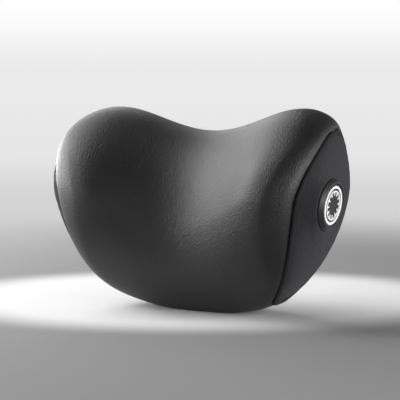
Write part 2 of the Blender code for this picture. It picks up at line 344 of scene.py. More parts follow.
def across_values(step, edge, edge_steps):
    """Shares of the half width, evenly spaced along the foremost line from end to end."""
    fine = np.linspace(-1, 1, FINE_ACROSS)
    points = cover_points(fine, np.ones_like(fine), 0.0)
    total = run_lengths(points, 0)[-1]
    return np.interp(spaced(total, step, edge, edge_steps), run_lengths(points, 0), fine)


def station_values(first, last, step, edge, edge_steps):
    """Stations that are evenly spaced along a section part of the way to the end."""
    fine = np.linspace(first, last, FINE_ALONG)
    points = cover_points(np.full_like(fine, MEASURED_AT), fine, 0.0)
    total = run_lengths(points, 0)[-1]
    return np.interp(spaced(total, step, edge, edge_steps), run_lengths(points, 0), fine)


def grid_normals(points):
    """Unit normals of a grid of points, pointing away from the pillow's middle."""
    across = np.gradient(points, axis=0)
    along = np.gradient(points, axis=1)
    normals = np.cross(across, along)
    normals /= np.maximum(np.linalg.norm(normals, axis=-1, keepdims=True), 1e-12)
    middle = np.array([0.0, 0.0, HEIGHT / 2])
    outward = np.sum(normals * (points - middle), axis=-1).mean()
    return normals if outward > 0 else -normals


def rolled_in(distance, roll):
    """How far a sewn edge has turned in, a distance from its seam."""
    width, depth = roll
    share = 1 - np.clip(distance / width, 0.0, 1.0)
    return depth * (1 - np.sqrt(1 - share**2))


def grid_faces(rows, columns, first, closed):
    """The quads of a grid of vertices, numbered row by row."""
    wide = columns if closed else columns - 1
    row, column = np.meshgrid(np.arange(rows - 1), np.arange(wide), indexing="ij")
    after = (column + 1) % columns
    corners = [row * columns + column, row * columns + after]
    corners += [(row + 1) * columns + after, (row + 1) * columns + column]
    return (np.stack(corners, axis=-1).reshape(-1, 4) + first).tolist()


def fan_faces(first, count, tip):
    """The triangles between a closed ring of vertices and a tip."""
    return [[first + i, first + (i + 1) % count, tip] for i in range(count)]


def strip_faces(outer, inner, closed):
    """The quads between two lines of vertex numbers."""
    count = len(outer)
    pairs = range(count if closed else count - 1)
    return [[outer[i], outer[(i + 1) % count], inner[(i + 1) % count], inner[i]] for i in pairs]


def add_piece(name, points, faces, slot, smooth=180):
    """A mesh object with its faces pointing out, which rides with the pillow."""
    mesh = bpy.data.meshes.new(name)
    mesh.from_pydata([tuple(point) for point in points], [], faces)
    shape = bmesh.new()
    shape.from_mesh(mesh)
    bmesh.ops.recalc_face_normals(shape, faces=shape.faces)
    shape.to_mesh(mesh)
    shape.free()
    mesh.shade_smooth()
    if smooth < 180:
        mesh.set_sharp_from_angle(angle=math.radians(smooth))
    thing = bpy.data.objects.new(name, mesh)
    bpy.context.scene.collection.objects.link(thing)
    thing.data.materials.append(MATERIALS[slot])
    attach(thing, "root")
    return thing


def add_sheet_piece(name, outer, inner, slot):
    """A closed sheet between two grids of points with the same rows and columns."""
    rows, columns = outer.shape[:2]
    count = rows * columns
    numbers = np.arange(count).reshape(rows, columns)
    faces = grid_faces(rows, columns, 0, False) + grid_faces(rows, columns, count, False)
    for line in (numbers[0], numbers[-1], numbers[:, 0], numbers[:, -1]):
        faces += strip_faces(line.tolist(), (line + count).tolist(), False)
    return add_piece(name, np.concatenate([outer.reshape(-1, 3), inner.reshape(-1, 3)]), faces, slot)


def cover_sheet(stations, across, end_rolls, seam_roll):
    """The outer and inner face of a cover piece, with its edges turned in at the seams.

    It has a roll for its left end and one for its right end.
    """
    points = cover_points(across[:, None], stations[None, :], 0.0)
    normals = grid_normals(points)
    from_end = edge_distance(points, 0)
    turned = np.where(across[:, None] < 0, *[rolled_in(from_end, roll) for roll in end_rolls])
    turned = np.maximum(turned, rolled_in(edge_distance(points, 1), seam_roll))[..., None]
    under = np.maximum(COVER_THICKNESS, turned + SEAM_EDGE)
    return points - normals * turned, points - normals * under


def swell(name, points, faces, pinned, outward):
    """How far each point of a sewn skin moves as it is pressed out between its pinned points.

    The mass and stiffness are those of a net with a known spacing, so that a denser net swells as far.
    """
    points = np.asarray(points)
    mesh = bpy.data.meshes.new(name)
    mesh.from_pydata(points.tolist(), [], faces)
    facing = sum(face.area * face.normal.dot(Vector(outward)) for face in mesh.polygons)
    share = sum(face.area for face in mesh.polygons) / len(points) / SWELL_SPACING**2
    if facing < 0:
        mesh.flip_normals()
    skin = bpy.data.objects.new(name, mesh)
    bpy.context.scene.collection.objects.link(skin)
    skin.vertex_groups.new(name="sewn").add([int(number) for number in pinned], 1.0, "REPLACE")
    cloth = skin.modifiers.new("cloth", "CLOTH")
    cloth.settings.vertex_group_mass = "sewn"
    cloth.settings.mass = SWELL_MASS * share
    cloth.settings.tension_stiffness = SWELL_STIFFNESS * share
    cloth.settings.compression_stiffness = SWELL_STIFFNESS * share
    cloth.settings.shear_stiffness = SWELL_STIFFNESS * share
    cloth.settings.use_pressure = True
    cloth.settings.uniform_pressure_force = SWELL_PRESSURE
    cloth.settings.effector_weights.gravity = 0.0
    cloth.point_cache.frame_end = SWELL_FRAMES
    for number in range(1, SWELL_FRAMES + 1):
        bpy.context.scene.frame_set(number)
    settled = skin.evaluated_get(bpy.context.evaluated_depsgraph_get())
    moved = np.array([vertex.co for vertex in settled.data.vertices]) - points
    bpy.data.objects.remove(skin, do_unlink=True)
    bpy.data.meshes.remove(mesh)
    bpy.context.scene.frame_set(1)
    length = np.linalg.norm(moved, axis=-1, keepdims=True)
    return moved * np.minimum(1.0, SWELL_MOST / np.maximum(length, 1e-9))


def make_leather_wrap():
    """The leather, from the back's upper seam over the top, the front and the base to its lower one."""
    first = BACK_SEAM_HIGH - STATIONS
    stations = station_values(first, BACK_SEAM_LOW, LEATHER_STEP_ALONG, LEATHER_ROLL[0], SEAM_ROWS)
    across = across_values(LEATHER_STEP_ACROSS, LEATHER_RIGHT_ROLL[0], LEATHER_END_ROWS)
    outer, inner = cover_sheet(stations, across, (LEATHER_ROLL, LEATHER_RIGHT_ROLL), LEATHER_ROLL)
    piece = add_sheet_piece("leather_cover", outer, inner, "leather")
    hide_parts("leather_wrap")


def make_back_panel():
    """The fabric that closes the back, pressed out between its seams and the strap's two tabs."""
    gap = SEAM_GAP / (HEIGHT / 2)
    first = BACK_SEAM_LOW + gap
    stations = station_values(first, BACK_SEAM_HIGH - gap, BACK_STEP_ALONG, BACK_ROLL[0], SEAM_ROWS)
    across = across_values(BACK_STEP_ACROSS, BACK_ROLL[0], SEAM_ROWS)
    outer, inner = cover_sheet(stations, across, (BACK_ROLL, BACK_ROLL), BACK_ROLL)
    _, half_length, height = strap_line()
    rows, columns = outer.shape[:2]
    pinned = np.zeros((rows, columns), bool)
    pinned[[0, -1]] = True
    pinned[:, [0, -1]] = True
    near_tab = np.abs(np.abs(outer[..., 0]) - half_length + STRAP_TAB / 2) < STRAP_TAB / 2 + SWELL_CLEAR
    pinned |= near_tab & (np.abs(outer[..., 2] - height) < STRAP_WIDTH / 2 + SWELL_CLEAR)
    faces = grid_faces(rows, columns, 0, False)
    moved = swell("back_skin", outer.reshape(-1, 3), faces, np.flatnonzero(pinned), (0, 1, 0))
    outer += moved.reshape(outer.shape)
    inner += moved.reshape(outer.shape)
    piece = add_sheet_piece("back_cover", outer, inner, "panel_fabric")
    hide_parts("back_panel")


def panel_x(y, z, edge_share):
    """The end panel's surface. It stands proud of its seam by the puff."""
    return reach(y, z) + PANEL_PUFF * (1 - edge_share**4)


def badge_middle():
    """The badge's centre on the unpressed panel, before the move to the base's middle."""
    y = section(1.0, 1.0, 0.0)[0] + BADGE_TO_SEAM + BADGE_RADIUS
    z = BELLY_END - BADGE_BELOW_BELLY
    return np.array([panel_x(y, z, 0.0), y, z])


def badge_axes():
    """The badge's sideways and upward directions and its normal, from the panel's downward slope."""
    step = 0.001
    middle = badge_middle()
    above = panel_x(middle[1], middle[2] + step, 0.0)
    below = panel_x(middle[1], middle[2] - step, 0.0)
    down = (above - below) / (2 * step) * BADGE_SLOPE_DOWN
    normal = Vector((1.0, 0.0, -down)).normalized()
    sideways = Vector((0.0, 1.0, 0.0))
    return np.array(sideways), np.array(normal.cross(sideways)), np.array(normal)


def end_outline(edge_inset, count):
    """Points evenly round the seam of one end: (y, z) before the move to the base's middle."""
    fine = np.linspace(0, STATIONS, FINE_ROUND)
    y, z = section(1.0, fine, edge_inset)
    line = np.stack([y, z], axis=-1)
    along = run_lengths(line, 0)
    places = np.linspace(0, along[-1], count, endpoint=False)
    return np.interp(places, along, y), np.interp(places, along, z)


def end_rings(outline, side, inset, pressed, inward, centre_rings):
    """Rings of points over one end, from its seam to the badge's place and on to its centre."""
    y, z = outline
    sideways, upward, normal = badge_axes()
    middle = badge_middle() - np.array([inset, 0.0, 0.0])
    seat = badge_middle() - normal * (BADGE_SINK + inset)
    radius = BADGE_RADIUS + BADGE_MARGIN
    angle = np.arctan2(z - middle[2], y - middle[1])
    near = seat + radius * (np.cos(angle)[:, None] * sideways + np.sin(angle)[:, None] * upward)
    edge = np.hypot(y - middle[1], z - middle[2])
    near_share = np.hypot(near[:, 1] - middle[1], near[:, 2] - middle[2]) / edge
    near_depth = near[:, 0] - (panel_x(near[:, 1], near[:, 2], near_share) - inset)
    rings = []
    for share in inward:
        ring_y = y + (near[:, 1] - y) * share
        ring_z = z + (near[:, 2] - z) * share
        x = panel_x(ring_y, ring_z, 1 + (near_share - 1) * share) - inset
        if pressed:
            x = x + near_depth * share**3
        rings.append(np.stack([x, ring_y, ring_z], axis=-1))
    last = seat if pressed else middle
    for share in np.linspace(0, 1, centre_rings + 1)[1:-1]:
        ring = near + (seat - near) * share
        if not pressed:
            ring[:, 0] = panel_x(ring[:, 1], ring[:, 2], near_share * (1 - share)) - inset
        rings.append(ring)
    rings = np.array(rings) * [side, 1.0, 1.0] - [0.0, BASE_MIDDLE, 0.0]
    return rings, last * [side, 1.0, 1.0] - [0.0, BASE_MIDDLE, 0.0]


def make_side_panel(name, side, node):
    """One end of the cover, with its edge turned in at the seam."""
    count = PANEL_AROUND
    near_edge = PANEL_EDGE_SHARE * (1 - np.cos(np.linspace(0, np.pi / 2, PANEL_EDGE_RINGS)))
    inward = np.concatenate([near_edge, np.linspace(PANEL_EDGE_SHARE, 1.0, PANEL_RINGS)[1:]])
    outline = end_outline(SEAM_GAP, count)
    rings, middle = end_rings(outline, side, 0.0, side > 0, inward, PANEL_CENTRE_RINGS)
    around = np.concatenate([rings[:, -1:], rings, rings[:, :1]], axis=1)
    normals = grid_normals(around)[:, 1:-1]
    normals *= np.sign(np.sum(normals * [side, 0.0, 0.0], axis=-1).mean())
    turned = rolled_in(run_lengths(rings, 0), PANEL_ROLL)[..., None]
    under = np.maximum(COVER_THICKNESS, turned + SEAM_EDGE)
    outer = rings - normals * turned
    inner = rings - normals * under
    last = (len(rings) - 1) * count
    tip = len(rings) * count
    skin = grid_faces(len(rings), count, 0, True) + fan_faces(last, count, tip)
    pinned = list(range(count))
    if side > 0:
        pinned += list(range((len(inward) - 1) * count, tip + 1))
    start = np.concatenate([outer.reshape(-1, 3), [middle]])
    moved = swell(name + "_skin", start, skin, pinned, (side, 0, 0))
    outer += moved[:-1].reshape(outer.shape)
    inner += moved[:-1].reshape(outer.shape)
    middle = middle + moved[-1]
    seams = []
    faces = []
    points = []
    for layer, centre in ((outer, middle), (inner, middle - [side * COVER_THICKNESS, 0.0, 0.0])):
        first = len(points)
        points += layer.reshape(-1, 3).tolist() + [centre.tolist()]
        faces += grid_faces(len(rings), count, first, True)
        faces += fan_faces(first + last, count, first + tip)
        seams.append(list(range(first, first + count)))
    faces += strip_faces(seams[0], seams[1], True)
    piece = add_piece(name, points, faces, "panel_fabric")
    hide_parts(node)


def add_tape(name, points, radius, closed):
    """The tape that closes a seam from inside, at the bottom of its groove."""
    curve = bpy.data.curves.new(name, "CURVE")
    curve.dimensions = "3D"
    curve.bevel_depth = radius
    curve.bevel_resolution = 2
    curve.use_fill_caps = True
    line = curve.splines.new("POLY")
    line.points.add(len(points) - 1)
    line.points.foreach_set("co", np.concatenate([points, np.ones((len(points), 1))], axis=1).ravel())
    line.use_cyclic_u = closed
    tape = bpy.data.objects.new(name, curve)
    bpy.context.scene.collection.objects.link(tape)
    curve.materials.append(MATERIALS["webbing"])
    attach(tape, "root")


def make_tapes():
    """One tape round each end seam, and one along each of the two seams across the back."""
    y, z = end_outline(END_TAPE_INSET, TAPE_AROUND)
    for name, side in (("seam_tape_right", 1), ("seam_tape_left", -1)):
        x = side * (reach(y, z) - END_TAPE_DEPTH)
        add_tape(name, np.stack([x, y - BASE_MIDDLE, z], axis=-1), END_TAPE_RADIUS, True)
    across = np.linspace(-1, 1, TAPE_ACROSS)
    gap = SEAM_GAP / (HEIGHT / 2)
    seams = (("seam_tape_low", BACK_SEAM_LOW + gap / 2), ("seam_tape_high", BACK_SEAM_HIGH - gap / 2))
    for name, station in seams:
        near = np.array([station - gap, station, station + gap])
        points = cover_points(across[:, None], near[None, :], 0.0)
        inside = points - grid_normals(points) * BACK_TAPE_DEPTH
        add_tape(name, inside[:, 1], BACK_TAPE_RADIUS, False)


def make_foam():
    """The foam block: one skin round the section, closed at both ends."""
    count = FOAM_AROUND
    fine = np.linspace(0, STATIONS, FINE_ROUND)
    points = cover_points(np.full_like(fine, MEASURED_AT), fine, FOAM_INSET)
    along = run_lengths(points, 0)
    stations = np.interp(np.linspace(0, along[-1], count, endpoint=False), along, fine)
    across = across_values(FOAM_STEP_ACROSS, FOAM_STEP_ACROSS, FOAM_END_ROWS)
    rows = cover_points(across[:, None], stations[None, :], FOAM_INSET)
    outline = section(1.0, stations, FOAM_INSET)
    inward = np.linspace(0, 1, FOAM_RINGS)[1:]
    ends = [end_rings(outline, side, FOAM_INSET, side > 0, inward, FOAM_CENTRE_RINGS) for side in (-1, 1)]
    (left_rings, left_tip), (right_rings, right_tip) = ends
    grid = np.concatenate([left_rings[::-1], rows, right_rings])
    closed = np.concatenate([grid[:, -1:], grid, grid[:, :1]], axis=1)
    along = run_lengths(grid, 0)
    edges = (len(left_rings), len(left_rings) + len(rows) - 1)
    distance = np.minimum(*[np.abs(along - along[edge]) for edge in edges])
    grid = grid - grid_normals(closed)[:, 1:-1] * rolled_in(distance, FOAM_ROLL)[..., None]
    points = grid.reshape(-1, 3).tolist() + [left_tip.tolist(), right_tip.tolist()]
    tip = len(grid) * count
    faces = grid_faces(len(grid), count, 0, True)
    faces += fan_faces(0, count, tip) + fan_faces(tip - count, count, tip + 1)
    piece = add_piece("foam_block", points, faces, "foam")
    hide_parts("foam_core")


def rounded(profile, radius, steps=4):
    """A turned profile with its inner corners rounded: (radius, height) points."""
    out = [profile[0]]
    for before, corner, after in zip(profile, profile[1:], profile[2:]):
        here = Vector(corner)
        back = Vector(before) - here
        ahead = Vector(after) - here
        cut = min(radius, back.length * ROUNDING_LIMIT, ahead.length * ROUNDING_LIMIT)
        start = here + back.normalized() * cut
        end = here + ahead.normalized() * cut
        for step in range(steps + 1):
            share = step / steps
            point = start.lerp(here, share).lerp(here.lerp(end, share), share)
            out.append((point.x, point.y))
    out.append(profile[-1])
    return out


def turned_piece(name, profile, place, slot, closed_profile):
    """A turned solid. An open profile starts and ends on the axis; a closed one makes a ring."""
    count = BADGE_AROUND
    angles = 2 * np.pi * np.arange(count) / count
    ring = profile if closed_profile else profile[1:-1]
    rows = np.array([[(r * math.cos(a), r * math.sin(a), h) for a in angles] for r, h in ring])
    points = rows.reshape(-1, 3).tolist()
    faces = grid_faces(len(ring), count, 0, True)
    last = (len(ring) - 1) * count
    if closed_profile:
        faces += strip_faces(list(range(last, last + count)), list(range(count)), True)
    else:
        points += [[0.0, 0.0, profile[0][1]], [0.0, 0.0, profile[-1][1]]]
        tip = len(ring) * count
        faces += fan_faces(0, count, tip) + fan_faces(last, count, tip + 1)
    points = [place @ Vector(point) for point in points]
    return add_piece(name, points, faces, slot, smooth=40)


def make_badge():
    """The moulding with its raised rim, and the pale rings on its face."""
    axes = badge_axes()
    seat = badge_middle() - axes[2] * (BADGE_SINK - SEAT_GAP) - [0.0, BASE_MIDDLE, 0.0]
    turned = Matrix([list(axis) for axis in axes]).transposed().to_4x4()
    place = Matrix.Translation(seat) @ turned
    inner = BADGE_FACE_RADIUS - BADGE_RIM
    face = BADGE_THICKNESS - BADGE_FACE_DEPTH
    profile = [(0.0, 0.0), (BADGE_RADIUS, 0.0), (BADGE_RADIUS, BADGE_WALL)]
    profile += [(BADGE_FACE_RADIUS, BADGE_THICKNESS), (inner, BADGE_THICKNESS), (inner, face), (0.0, face)]
    profile = rounded(profile, BADGE_ROUNDING)
    disc = turned_piece("badge_moulding", profile, place, "badge_rubber", False)
    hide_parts("badge_disc")
    top = Matrix.Translation((0.0, 0.0, face + SEAT_GAP))
    outer = ring_profile(OUTER_RING_RADIUS, OUTER_RING_WIDTH)
    band = turned_piece("badge_band", outer, place @ top, "badge_inlay", True)
    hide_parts("badge_ring_outer")
    make_dial(place @ top)


def ring_profile(radius, width):
    """The section of a flat ring with its upper edges rounded."""
    inner = radius - width
    cut = RING_THICKNESS * RING_CUT
    profile = [(inner, 0.0), (inner, RING_THICKNESS - cut), (inner + cut, RING_THICKNESS)]
    return profile + [(radius - cut, RING_THICKNESS), (radius, RING_THICKNESS - cut), (radius, 0.0)]


def make_dial(place):
    """A thin ring with plain ticks that point to the badge's centre, as one raised piece."""
    steps = TICK_STEPS
    count = TICK_COUNT * TICK_SPACING * steps
    inner = INNER_RING_RADIUS - INNER_RING_WIDTH
    shape = bmesh.new()
    angles = [2 * math.pi * step / count for step in range(count)]
    lines = []
    for radius in (INNER_RING_RADIUS, inner, inner - TICK_LENGTH):
        lines.append([(radius * math.cos(angle), radius * math.sin(angle), 0.0) for angle in angles])
    ring = [[shape.verts.new(point) for point in line] for line in lines[:2]]
    for step in range(count):
        after = (step + 1) % count
        shape.faces.new((ring[0][step], ring[0][after], ring[1][after], ring[1][step]))
    for tick in range(TICK_COUNT):
        first = tick * TICK_SPACING * steps
        base = ring[1][first : first + steps + 1]
        tip = [shape.verts.new(point) for point in lines[2][first : first + steps + 1]]
        for step in range(steps):
            shape.faces.new((base[step], base[step + 1], tip[step + 1], tip[step]))
    made = bmesh.ops.extrude_face_region(shape, geom=list(shape.faces), use_keep_orig=True)
    raised = [item for item in made["geom"] if isinstance(item, bmesh.types.BMVert)]
    bmesh.ops.translate(shape, verts=raised, vec=(0.0, 0.0, RING_THICKNESS))
    bmesh.ops.recalc_face_normals(shape, faces=shape.faces)
    points = [place @ vertex.co for vertex in shape.verts]
    shape.verts.index_update()
    faces = [[vertex.index for vertex in face.verts] for face in shape.faces]
    shape.free()
    dial = add_piece("badge_dial", points, faces, "badge_inlay", smooth=40)
    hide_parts("badge_ring_inner")


def strap_line():
    """The strap's place on the back, half its length, and the height of its middle."""
    back, height = section(BACK_AT, 4.0, 0.0)
    half_length = BACK_AT * reach(back, height) - STRAP_END_MARGIN
    return float(back), float(half_length), float(height)


def strap_gap(x, half_length):
    """How far the strap's inner face stands off the line of the back."""
    return SEAT_GAP + STRAP_BOW * ease(np.abs(x) / (half_length - STRAP_TAB))


def make_strap():
    """The elastic band. Its rounded edges and thickness are one section, swept along it."""
    back, half_length, height = strap_line()
    half = STRAP_WIDTH / 2
    thick = STRAP_THICKNESS / 2
    profile = []
    for end in (1, -1):
        edge = end * (half - thick)
        for step in range(STRAP_EDGE_SIDES):
            angle = end * (math.pi / 2 - math.pi * step / (STRAP_EDGE_SIDES - 1))
            profile.append((edge + end * thick * math.cos(angle), thick + thick * math.sin(angle)))
        face = thick - end * thick
        profile += [(z, face) for z in np.linspace(edge, -edge, STRAP_RIBS + 1)[1:-1]]
    profile = np.array(profile)
    x = np.linspace(-half_length, half_length, STRAP_STEPS)
    y = back - BASE_MIDDLE + strap_gap(x, half_length)
    grid = np.zeros((len(x), len(profile), 3))
    grid[..., 0] = x[:, None]
    grid[..., 1] = y[:, None] + profile[None, :, 1]
    grid[..., 2] = height + profile[None, :, 0]
    points = grid.reshape(-1, 3).tolist()
    count = len(profile)
    faces = grid_faces(len(x), count, 0, True)
    for row in (0, len(x) - 1):
        faces.append([row * count + i for i in range(count)])
    piece = add_piece("strap_band", points, faces, "webbing", smooth=50)
    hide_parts("headrest_strap")


def stitch_line(start, end):
    """The middles and the direction of evenly spaced stitches between two corners."""
    run = Vector(end) - Vector(start)
    count = max(round(run.length / STITCH_PITCH), 1)
    return [(Vector(start) + run * ((i + 0.5) / count), run.normalized()) for i in range(count)]


def stitch_points(middle, direction, outward):
    """The rings of points of one stitch, which is thickest at its middle."""
    across = direction.cross(outward)
    points = []
    for ring in range(STITCH_RINGS):
        share = 2 * ring / (STITCH_RINGS - 1) - 1
        radius = STITCH_RADIUS * math.sqrt(max(1 - share**2, STITCH_BLUNTNESS))
        centre = middle + direction * (share * STITCH_LENGTH / 2)
        for number in range(STITCH_SIDES):
            angle = 2 * math.pi * number / STITCH_SIDES
            points.append(centre + radius * (math.cos(angle) * across + math.sin(angle) * outward))
    return points


def make_stitches():
    """A sewn box with a cross on each of the strap's tabs."""
    back, half_length, height = strap_line()
    face = back - BASE_MIDDLE + SEAT_GAP + STRAP_THICKNESS
    half = STRAP_WIDTH / 2 - STITCH_MARGIN
    outer = half_length - STITCH_MARGIN
    inner = half_length - STRAP_TAB + STITCH_MARGIN
    stitches = []
    box = ((inner, -half), (outer, -half), (outer, half), (inner, half))
    for side in (-1, 1):
        corners = [(side * x, face, height + z) for x, z in box]
        for start, end in ((0, 1), (1, 2), (2, 3), (3, 0), (0, 2), (1, 3)):
            stitches += stitch_line(corners[start], corners[end])
    points = []
    faces = []
    outward = Vector((0.0, 1.0, 0.0))
    for middle, direction in stitches:
        first = len(points)
        points += stitch_points(middle, direction, outward)
        faces += grid_faces(STITCH_RINGS, STITCH_SIDES, first, True)
        tip = first + (STITCH_RINGS - 1) * STITCH_SIDES
        faces += [[start + number for number in range(STITCH_SIDES)] for start in (first, tip)]
    add_piece("strap_stitches", points, faces, "webbing")


def add_node(tree, kind, inputs=None, **settings):
    """A shader node with its settings, values and links."""
    node = tree.nodes.new(kind)
    for name, value in settings.items():
        setattr(node, name, value)
    for name, value in (inputs or {}).items():
        if isinstance(value, bpy.types.NodeSocket):
            tree.links.new(value, node.inputs[name])
        else:
            node.inputs[name].default_value = value
    return node


def start_material(name, roughness, specular):
    """A material, its node tree and its shader."""
    material = bpy.data.materials.new(name)
    material.use_nodes = True
    shader = material.node_tree.nodes["Principled BSDF"]
    shader.inputs["Roughness"].default_value = roughness
    shader.inputs["Specular IOR Level"].default_value = specular
    return material, material.node_tree, shader


def mix_colours(tree, share, first, second):
    """A colour between two, by a share that a texture gives."""
    mix = add_node(tree, "ShaderNodeMix", data_type="RGBA")
    tree.links.new(share, mix.inputs[0])
    mix.inputs[6].default_value = (*first, 1.0)
    mix.inputs[7].default_value = (*second, 1.0)
    return mix.outputs[2]


def add_bump(tree, shader, height, strength, distance):
    """Small relief on a surface, from the height that a texture gives."""
    relief = {"Height": height, "Strength": strength, "Distance": distance}
    bump = add_node(tree, "ShaderNodeBump", relief)
    tree.links.new(bump.outputs[0], shader.inputs["Normal"])


def leather_material():
    """Satin leather: soft dimples, a grain of cells, and fine pores."""
    material, tree, shader = start_material("satin leather", 0.46, 0.5)
    place = add_node(tree, "ShaderNodeTexCoord").outputs["Object"]
    warp = add_node(tree, "ShaderNodeTexNoise", {"Vector": place, "Scale": 260.0, "Detail": 2.0})
    bent = add_node(tree, "ShaderNodeVectorMath", operation="MULTIPLY_ADD")
    tree.links.new(warp.outputs["Color"], bent.inputs[0])
    bent.inputs[1].default_value = (0.0012, 0.0012, 0.0012)
    tree.links.new(place, bent.inputs[2])
    pattern = {"Vector": bent.outputs[0], "Scale": 780.0, "Smoothness": 0.35}
    cells = add_node(tree, "ShaderNodeTexVoronoi", pattern, feature="SMOOTH_F1")
    pores = add_node(tree, "ShaderNodeTexNoise", {"Vector": place, "Scale": 1900.0, "Detail": 3.0})
    dimples = add_node(tree, "ShaderNodeTexNoise", {"Vector": place, "Scale": 420.0, "Detail": 3.0})
    low = {"Height": dimples.outputs["Fac"], "Strength": 0.45, "Distance": 0.0006}
    soft = add_node(tree, "ShaderNodeBump", low).outputs[0]
    middle = {"Height": cells.outputs["Distance"], "Strength": 0.6, "Distance": 0.0004, "Normal": soft}
    grain = add_node(tree, "ShaderNodeBump", middle, invert=True).outputs[0]
    high = {"Height": pores.outputs["Fac"], "Strength": 0.18, "Distance": 0.0001, "Normal": grain}
    fine = add_node(tree, "ShaderNodeBump", high).outputs[0]
    tree.links.new(fine, shader.inputs["Normal"])
    patches = add_node(tree, "ShaderNodeTexNoise", {"Vector": place, "Scale": 34.0, "Detail": 5.0})
    colour = mix_colours(tree, patches.outputs["Fac"], (0.005, 0.005, 0.0054), (0.008, 0.008, 0.0085))
    tree.links.new(colour, shader.inputs["Base Color"])
    wear = {"Value": patches.outputs["Fac"], "To Min": 0.45, "To Max": 0.55}
    worn = add_node(tree, "ShaderNodeMapRange", wear)
    tree.links.new(worn.outputs[0], shader.inputs["Roughness"])
    return material


def fabric_material():
    """A fine matt weave, from crossed sets of threads."""
    material, tree, shader = start_material("matt panel fabric", 0.9, 0.12)
    place = add_node(tree, "ShaderNodeTexCoord").outputs["Object"]
    heights = []
    for turned in ((0.0, 0.0, 0.0), (0.0, 0.0, math.pi / 2), (math.pi / 2, 0.0, 0.0)):
        moved = add_node(tree, "ShaderNodeMapping", {"Vector": place, "Rotation": turned}).outputs[0]
        thread = {"Vector": moved, "Scale": 620.0, "Distortion": 1.5, "Detail": 1.0, "Detail Scale": 2.0}
        bands = "X" if turned[0] == 0 else "Z"
        heights.append(add_node(tree, "ShaderNodeTexWave", thread, bands_direction=bands).outputs["Fac"])
    both = add_node(tree, "ShaderNodeMath", {0: heights[0], 1: heights[1]}, operation="MAXIMUM")
    weave = add_node(tree, "ShaderNodeMath", {0: both.outputs[0], 1: heights[2]}, operation="ADD")
    add_bump(tree, shader, weave.outputs[0], 0.35, 0.0002)
    patches = add_node(tree, "ShaderNodeTexNoise", {"Vector": place, "Scale": 420.0, "Detail": 6.0})
    colour = mix_colours(tree, patches.outputs["Fac"], (0.032, 0.032, 0.036), (0.048, 0.048, 0.054))
    tree.links.new(colour, shader.inputs["Base Color"])
    shader.inputs["Sheen Weight"].default_value = 0.04
    shader.inputs["Sheen Roughness"].default_value = 0.45
    return material


def rubber_material():
    """Matt moulded rubber with a fine grain."""
    material, tree, shader = start_material("moulded rubber", 0.5, 0.5)
    place = add_node(tree, "ShaderNodeTexCoord").outputs["Object"]
    grain = add_node(tree, "ShaderNodeTexNoise", {"Vector": place, "Scale": 1500.0, "Detail": 3.0})
    add_bump(tree, shader, grain.outputs["Fac"], 0.2, 0.0001)
    colour = mix_colours(tree, grain.outputs["Fac"], (0.010, 0.010, 0.011), (0.016, 0.016, 0.018))
    tree.links.new(colour, shader.inputs["Base Color"])
    return material


def inlay_material():
    """The pale inlay of the badge's rings."""
    material, tree, shader = start_material("pale inlay", 0.45, 0.5)
    place = add_node(tree, "ShaderNodeTexCoord").outputs["Object"]
    grain = add_node(tree, "ShaderNodeTexNoise", {"Vector": place, "Scale": 900.0, "Detail": 2.0})
    colour = mix_colours(tree, grain.outputs["Fac"], (0.80, 0.80, 0.80), (0.90, 0.90, 0.90))
    tree.links.new(colour, shader.inputs["Base Color"])
    return material


def foam_material():
    """Open-cell foam, pale and matt."""
    material, tree, shader = start_material("memory foam", 0.95, 0.2)
    place = add_node(tree, "ShaderNodeTexCoord").outputs["Object"]
    cells = add_node(tree, "ShaderNodeTexVoronoi", {"Vector": place, "Scale": 1400.0})
    add_bump(tree, shader, cells.outputs["Distance"], 0.6, 0.0004)
    colour = mix_colours(tree, cells.outputs["Distance"], (0.62, 0.58, 0.47), (0.88, 0.85, 0.76))
    tree.links.new(colour, shader.inputs["Base Color"])
    return material


def webbing_material():
    """Ribbed elastic: bands along it, crossed by finer ones."""
    material, tree, shader = start_material("elastic webbing", 0.8, 0.3)
    place = add_node(tree, "ShaderNodeTexCoord").outputs["Object"]
    ribs = {"Vector": place, "Scale": 165.0, "Distortion": 0.4}
    picks = {"Vector": place, "Scale": 330.0, "Distortion": 0.4}
    along = add_node(tree, "ShaderNodeTexWave", ribs, bands_direction="Z").outputs["Fac"]
    crossing = add_node(tree, "ShaderNodeTexWave", picks, bands_direction="X").outputs["Fac"]
    weave = add_node(tree, "ShaderNodeMath", {0: along, 1: crossing}, operation="MULTIPLY")
    add_bump(tree, shader, weave.outputs[0], 0.6, 0.0004)
    colour = mix_colours(tree, weave.outputs[0], (0.010, 0.010, 0.011), (0.022, 0.022, 0.024))
    tree.links.new(colour, shader.inputs["Base Color"])
    return material


def add_camera():
    """The camera, as it stood for the photo."""
    data = bpy.data.cameras.new("photo_camera")
    data.lens = CAMERA_LENS
    data.sensor_width = CAMERA_SENSOR
    camera = bpy.data.objects.new("photo_camera", data)
    bpy.context.scene.collection.objects.link(camera)
    east = math.sin(CAMERA_AZIMUTH) * CAMERA_DISTANCE
    south = -math.cos(CAMERA_AZIMUTH) * CAMERA_DISTANCE - BASE_MIDDLE
    camera.location = (east, south, CAMERA_HEIGHT)
    camera.rotation_euler = (Vector(AIM) - camera.location).to_track_quat("-Z", "Y").to_euler()
    bpy.context.scene.camera = camera


